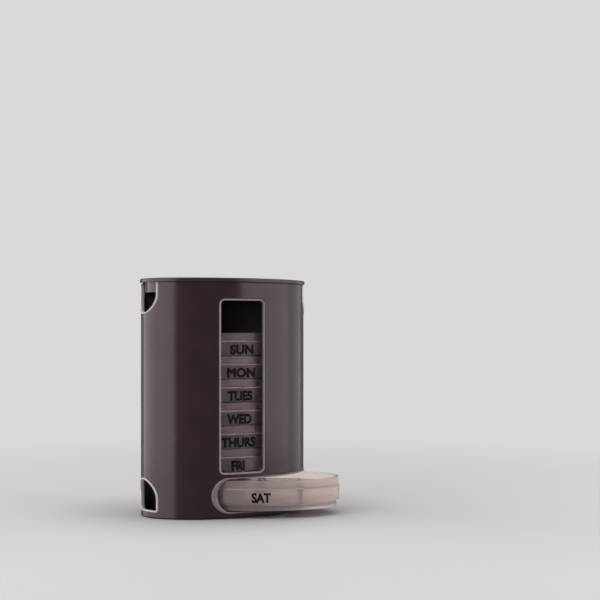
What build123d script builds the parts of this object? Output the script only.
from build123d import *
import os
from math import hypot, sqrt

# Pill organizer tower: an oval case holds seven stacked day trays, each with four lidded compartments.
# Millimetres. +Z is up, the window faces -Y, and the origin is the middle of the underside.

# The oval case. Its lower edge hangs just clear of the floor, and a dark seam runs round under the cap.
CASE_HALF_WIDTH = 55.0
CASE_HALF_DEPTH = 33.5
CASE_HEIGHT = 147.6
CASE_BOTTOM = 0.8
SEAM_HEIGHT = 0.5
SEAM_DEPTH = 0.8
WALL = 2.3
BEAD_PROUD = 0.5
BEAD_WIDTH = 1.3

# The window that shows the day names
WINDOW_WIDTH = 28.6
WINDOW_BOTTOM = 28.4
WINDOW_TOP = 136.0
WINDOW_CORNER = 2.6

# The notches at the two ends of the oval, a little forward of its middle
NOTCH_WIDTH = 23.2
NOTCH_FORWARD = 2.1
TOP_NOTCH_DEPTH = 19.1
PUSH_NOTCH_BOTTOM = 4.7
PUSH_NOTCH_HEIGHT = 18.9

# The exit that the lowest tray leaves by
EXIT_BOTTOM = 4.1
EXIT_HEIGHT = 20.5
EXIT_FRONT_LEFT = -18.4
EXIT_BACK_LEFT = 26.0
EXIT_BEVEL = 1.2

# The base plate in the bottom of the case
BASE_THICKNESS = 2.2
BASE_LEDGE = 0.8
BASE_CLEARANCE = 0.1
RUNNER_LENGTH = 84.0
RUNNER_WIDTH = 2.4
RUNNER_SPACING = 13.0

# The lift-off cap
CAP_THICKNESS = 2.3
CAP_OVERHANG = 0.7
CAP_ROUNDING = 0.9
CAP_SEAT_GAP = 0.1
SKIRT_DEPTH = 6.4
SKIRT_WALL = 1.6
SKIRT_CLEARANCE = 0.3

# The trays
DAYS = ("sunday", "monday", "tuesday", "wednesday", "thursday", "friday", "saturday")
TRAY_HALF_WIDTH = 50.0
TRAY_HALF_DEPTH = 28.0
TRAY_HEIGHT = 18.8
TRAY_WALL = 1.2
TRAY_NEST = 4.2
TRAY_CLEARANCE = 0.3
TRAY_FOOT_HEIGHT = 1.6
TRAY_FLOOR = 1.2
RIM_HEIGHT = 4.9
RIM_STEP = 0.4
DIVIDER_SPACING = 24.5
DIVIDER_WALL = 1.2
RAIL_THICKNESS = 1.0
RAIL_WIDTH = 4.0

# The lowest tray's height on its runners, and how far it is swung out of the case
RUNNER_GAP = 0.3
LOWEST_TRAY_BOTTOM = 4.8
SWING_POLE_X = -30.5
SWING_POLE_Y = -54.7
SWING_ANGLE = 23.9

# The lids and their hinges
LIDS = ("morning", "noon", "evening", "bedtime")
LID_THICKNESS = 1.0
LID_SEAT_GAP = 0.3
LID_SIDE_GAP = 0.3
LID_RIM_GAP = 0.6
HINGE_RADIUS = 0.9
HINGE_LENGTH = 18.0
HINGE_OFFSET = 1.6
PIN_RADIUS = 0.55
PIN_LENGTH = 1.3
PIN_FIT = 0.05
LUG_THICKNESS = 1.5
LUG_WIDTH = 2.2
LUG_TOP = 0.5
THUMB_LIP_LENGTH = 8.0
THUMB_LIP_RADIUS = 0.9

# Places worked out from the sizes above
CASE_INSIDE_HALF_WIDTH = CASE_HALF_WIDTH - WALL
CASE_INSIDE_HALF_DEPTH = CASE_HALF_DEPTH - WALL
REACH = CASE_HALF_WIDTH + CASE_HALF_DEPTH
RUNNER_TOP = LOWEST_TRAY_BOTTOM - RUNNER_GAP
TRAY_PITCH = TRAY_HEIGHT - TRAY_NEST
FOOT_INSET = RIM_STEP + TRAY_WALL + TRAY_CLEARANCE
SHOULDER = TRAY_NEST + TRAY_CLEARANCE
LEDGE = TRAY_HEIGHT - RIM_HEIGHT
SEAT = LEDGE - LID_THICKNESS
LID_BOTTOM = SEAT + LID_SEAT_GAP
LID_TOP = LID_BOTTOM + LID_THICKNESS
LID_INSET = RIM_STEP + TRAY_WALL + LID_RIM_GAP
FLOOR_TOP = TRAY_FOOT_HEIGHT + TRAY_FLOOR
FIRST_STACKED_TRAY = LOWEST_TRAY_BOTTOM + TRAY_HEIGHT + TRAY_CLEARANCE
CAP_BOTTOM = CASE_HEIGHT + CAP_SEAT_GAP
SKIRT_BOTTOM = CAP_BOTTOM - SKIRT_DEPTH


def oval(half_width, half_depth, bottom, top):
    """A solid oval that stands on the height bottom and ends at the height top."""
    return Pos(0, 0, bottom) * extrude(Ellipse(half_width, half_depth), top - bottom)


def oval_ring(half_width, half_depth, wall, bottom, top):
    """An oval tube with the wall inside the given outline."""
    outside = oval(half_width, half_depth, bottom, top)
    return outside - oval(half_width - wall, half_depth - wall, bottom, top)


def oval_reach(place, along, across):
    """How far an oval reaches across, at a place along its other axis."""
    return across * sqrt(1 - (place / along) ** 2)


def window_cutter(margin):
    """The window's outline, grown by a margin, pushed forward through the front wall."""
    outline = RectangleRounded(
        WINDOW_WIDTH + 2 * margin,
        WINDOW_TOP - WINDOW_BOTTOM + 2 * margin,
        WINDOW_CORNER + margin,
    )
    middle = (WINDOW_BOTTOM + WINDOW_TOP) / 2
    return extrude(Plane.XZ * Pos(0, middle) * outline, REACH)


def top_notch_cutter(margin):
    """A finger notch with a round bottom, through both ends of the case at its top edge."""
    radius = NOTCH_WIDTH / 2
    middle = CASE_HEIGHT - TOP_NOTCH_DEPTH + radius
    height = CASE_HEIGHT - middle + margin
    outline = Pos(0, middle) * Circle(radius + margin)
    outline += Pos(0, middle + height / 2) * Rectangle(2 * (radius + margin), height)
    return Pos(0, -NOTCH_FORWARD, 0) * extrude(Plane.YZ * outline, REACH, both=True)


def push_notch_cutter(margin):
    """The arched notch that a finger pushes the lowest tray through, at the left end only."""
    radius = NOTCH_WIDTH / 2
    straight = PUSH_NOTCH_HEIGHT - radius
    outline = Pos(0, PUSH_NOTCH_BOTTOM + straight) * Circle(radius + margin)
    below = PUSH_NOTCH_BOTTOM - margin
    outline += Pos(0, below + straight / 2) * Rectangle(2 * (radius + margin), straight + 2 * margin)
    outline &= Pos(0, below + REACH / 2) * Rectangle(REACH, REACH)
    return Pos(0, -NOTCH_FORWARD, 0) * extrude(Plane.YZ * outline, -REACH)


def exit_cutter(margin):
    """The exit runs from a round end in the front wall, past the right end, to the back wall."""
    radius = EXIT_HEIGHT / 2 + margin
    middle = EXIT_BOTTOM + EXIT_HEIGHT / 2
    cutter = None
    for left, forward in ((EXIT_FRONT_LEFT, 1), (EXIT_BACK_LEFT, -1)):
        centre = left - margin + radius
        length = REACH - centre
        outline = Pos(centre, middle) * Circle(radius)
        outline += Pos(centre + length / 2, middle) * Rectangle(length, 2 * radius)
        cut = extrude(Plane.XZ * outline, forward * REACH)
        cutter = cut if cutter is None else cutter + cut
    return cutter


def exit_bevel_cutter():
    """The round end of the exit leans outward through the wall, so that a finger finds the tray."""
    radius = EXIT_HEIGHT / 2
    centre = EXIT_FRONT_LEFT + radius
    inside = oval_reach(EXIT_FRONT_LEFT, CASE_INSIDE_HALF_WIDTH, CASE_INSIDE_HALF_DEPTH)
    circle = Pos(centre, EXIT_BOTTOM + radius) * Circle(radius)
    slant = Vector(-EXIT_BEVEL, -WALL, 0)
    reach = slant * 2
    return extrude(Plane.XZ.offset(inside) * circle, reach.length, dir=slant)


def case():
    """The outer case: an oval tube with its window, notches and exit, each with a raised edge."""
    tube = oval_ring(CASE_HALF_WIDTH, CASE_HALF_DEPTH, WALL, CASE_BOTTOM, CASE_HEIGHT)
    raised = oval_ring(
        CASE_HALF_WIDTH + BEAD_PROUD,
        CASE_HALF_DEPTH + BEAD_PROUD,
        BEAD_PROUD + WALL / 2,
        CASE_BOTTOM,
        CASE_HEIGHT,
    )
    cutters = (window_cutter, top_notch_cutter, push_notch_cutter, exit_cutter)
    for cutter in cutters:
        tube += raised & cutter(BEAD_WIDTH)
    for cutter in cutters:
        tube -= cutter(0)
    tube -= exit_bevel_cutter()
    tube -= oval(
        CASE_INSIDE_HALF_WIDTH + BASE_LEDGE, CASE_INSIDE_HALF_DEPTH + BASE_LEDGE, 0, BASE_THICKNESS
    )
    tube -= oval_ring(
        CASE_HALF_WIDTH + WALL,
        CASE_HALF_DEPTH + WALL,
        WALL + SEAM_DEPTH,
        CASE_HEIGHT - SEAM_HEIGHT,
        CASE_HEIGHT,
    )
    return tube


def base_plate():
    """The plate that closes the bottom of the case, with the runners that the lowest tray slides on."""
    shrink = BASE_CLEARANCE - BASE_LEDGE
    plate = oval(
        CASE_INSIDE_HALF_WIDTH - shrink, CASE_INSIDE_HALF_DEPTH - shrink, 0, BASE_THICKNESS
    )
    height = RUNNER_TOP - BASE_THICKNESS
    for row in (-1, 0, 1):
        place = Pos(0, row * RUNNER_SPACING, BASE_THICKNESS + height / 2)
        plate += place * Box(RUNNER_LENGTH, RUNNER_WIDTH, height)
    return plate


def cap():
    """The lift-off cap: an oval plate with a rounded edge, and a skirt that plugs into the case."""
    plate = oval(
        CASE_HALF_WIDTH + CAP_OVERHANG,
        CASE_HALF_DEPTH + CAP_OVERHANG,
        CAP_BOTTOM,
        CAP_BOTTOM + CAP_THICKNESS,
    )
    plate = fillet(plate.faces().sort_by(Axis.Z)[-1].edges(), CAP_ROUNDING)
    skirt = oval_ring(
        CASE_INSIDE_HALF_WIDTH - SKIRT_CLEARANCE,
        CASE_INSIDE_HALF_DEPTH - SKIRT_CLEARANCE,
        SKIRT_WALL,
        SKIRT_BOTTOM,
        CAP_BOTTOM,
    )
    return plate + skirt


def inset_oval(inset, bottom, top):
    """A solid oval inside the tray's outline."""
    return oval(TRAY_HALF_WIDTH - inset, TRAY_HALF_DEPTH - inset, bottom, top)


def hinge_place(lid):
    """Where a lid's hinge line lies along the tray: both outer dividers carry one, the middle one two."""
    return (-DIVIDER_SPACING, -HINGE_OFFSET, HINGE_OFFSET, DIVIDER_SPACING)[lid]


def hinge_lugs():
    """The small ears on the dividers that hold the lids' pins."""
    lugs = None
    height = LID_TOP + PIN_RADIUS + LUG_TOP - SEAT + RAIL_THICKNESS
    middle = SEAT - RAIL_THICKNESS + height / 2
    for lid in range(len(LIDS)):
        for end in (-1, 1):
            y = end * (HINGE_LENGTH / 2 + TRAY_CLEARANCE + LUG_THICKNESS / 2)
            lug = Pos(hinge_place(lid), y, middle) * Box(LUG_WIDTH, LUG_THICKNESS, height)
            bore = Cylinder(PIN_RADIUS + PIN_FIT, 2 * LUG_THICKNESS)
            lug -= Pos(hinge_place(lid), y, LID_TOP) * Rot(90, 0, 0) * bore
            lugs = lug if lugs is None else lugs + lug
    return lugs


def tray():
    """A day tray: a foot that nests in the tray below, four compartments, and a rim round the lids."""
    body = inset_oval(FOOT_INSET, 0, SHOULDER) + inset_oval(0, SHOULDER, LEDGE)
    body += inset_oval(RIM_STEP, LEDGE, TRAY_HEIGHT)
    body -= inset_oval(FOOT_INSET + TRAY_WALL, 0, TRAY_FOOT_HEIGHT)
    body -= inset_oval(RIM_STEP + TRAY_WALL, SEAT, TRAY_HEIGHT)
    hollow = inset_oval(FOOT_INSET + TRAY_WALL, FLOOR_TOP, SHOULDER + TRAY_WALL)
    hollow += inset_oval(2 * TRAY_WALL, SHOULDER + TRAY_WALL, SEAT)
    for place in (-DIVIDER_SPACING, 0, DIVIDER_SPACING):
        hollow -= Pos(place, 0, SEAT / 2) * Box(DIVIDER_WALL, 2 * TRAY_HALF_DEPTH, SEAT)
        rail = RAIL_WIDTH if place else RAIL_WIDTH + 2 * HINGE_OFFSET
        middle = SEAT - RAIL_THICKNESS / 2
        hollow -= Pos(place, 0, middle) * Box(rail, 2 * TRAY_HALF_DEPTH, RAIL_THICKNESS)
    return body - hollow + hinge_lugs()


def thumb_lip(outward, end_lid, free_edge):
    """A half-round lip at a lid's free edge, inside the foot of the tray above."""
    foot_inset = FOOT_INSET + TRAY_WALL
    foot = oval_reach(THUMB_LIP_LENGTH / 2, TRAY_HALF_DEPTH - foot_inset, TRAY_HALF_WIDTH - foot_inset)
    edge = foot if end_lid else free_edge
    middle = Pos(outward * (edge - TRAY_CLEARANCE - THUMB_LIP_RADIUS), 0, LID_TOP)
    lip = middle * Rot(90, 0, 0) * Cylinder(THUMB_LIP_RADIUS, THUMB_LIP_LENGTH)
    return lip & middle * Box(4 * THUMB_LIP_RADIUS, THUMB_LIP_LENGTH, LID_THICKNESS)


def lid(index):
    """One compartment's lid: a plate that follows the rim, its hinge bar and pins, and a thumb lip."""
    hinge = hinge_place(index)
    outward = -1 if index in (0, 1) else 1
    end_lid = index in (0, len(LIDS) - 1)
    free_edge = TRAY_HALF_WIDTH if end_lid else DIVIDER_SPACING - LUG_WIDTH / 2 - LID_SIDE_GAP
    span = free_edge - abs(hinge)
    plate = inset_oval(LID_INSET, LID_BOTTOM, LID_TOP)
    plate &= Pos(outward * (abs(hinge) + span / 2), 0, LID_TOP) * Box(span, REACH, LID_THICKNESS * 2)
    lug_room = hypot(LUG_WIDTH / 2, PIN_RADIUS + LUG_TOP) + LID_SIDE_GAP
    for end in (-1, 1):
        y = end * (HINGE_LENGTH / 2 + TRAY_CLEARANCE + LUG_THICKNESS / 2)
        slot = Box(2 * lug_room, LUG_THICKNESS + 2 * TRAY_CLEARANCE, LID_THICKNESS * 4)
        plate -= Pos(hinge, y, LID_TOP) * slot
    bar = Cylinder(HINGE_RADIUS, HINGE_LENGTH)
    bar += Cylinder(PIN_RADIUS, HINGE_LENGTH + 2 * (TRAY_CLEARANCE + PIN_LENGTH))
    plate += Pos(hinge, 0, LID_TOP) * Rot(90, 0, 0) * bar
    return plate + thumb_lip(outward, end_lid, free_edge)


def tray_place(day):
    """Six trays stand nested in a stack. The lowest is swung part of the way out of the case."""
    if day == len(DAYS) - 1:
        pole = Pos(SWING_POLE_X, SWING_POLE_Y, LOWEST_TRAY_BOTTOM)
        return pole * Rot(0, 0, -SWING_ANGLE) * Pos(-SWING_POLE_X, -SWING_POLE_Y, 0)
    above = len(DAYS) - 2 - day
    return Pos(0, 0, FIRST_STACKED_TRAY + above * TRAY_PITCH)


def write(shape, name):
    """Writes one node to its own file."""
    export_step(shape, "parts/" + name + ".step")


def main():
    os.makedirs("parts", exist_ok=True)
    write(case(), "case")
    write(base_plate(), "base_plate")
    write(cap(), "cap")
    one_tray = tray()
    four_lids = [lid(index) for index in range(len(LIDS))]
    for day, name in enumerate(DAYS):
        place = tray_place(day)
        write(place * one_tray, name + "_tray")
        for part_of_day, shape in zip(LIDS, four_lids):
            write(place * shape, name + "_" + part_of_day + "_lid")


main()
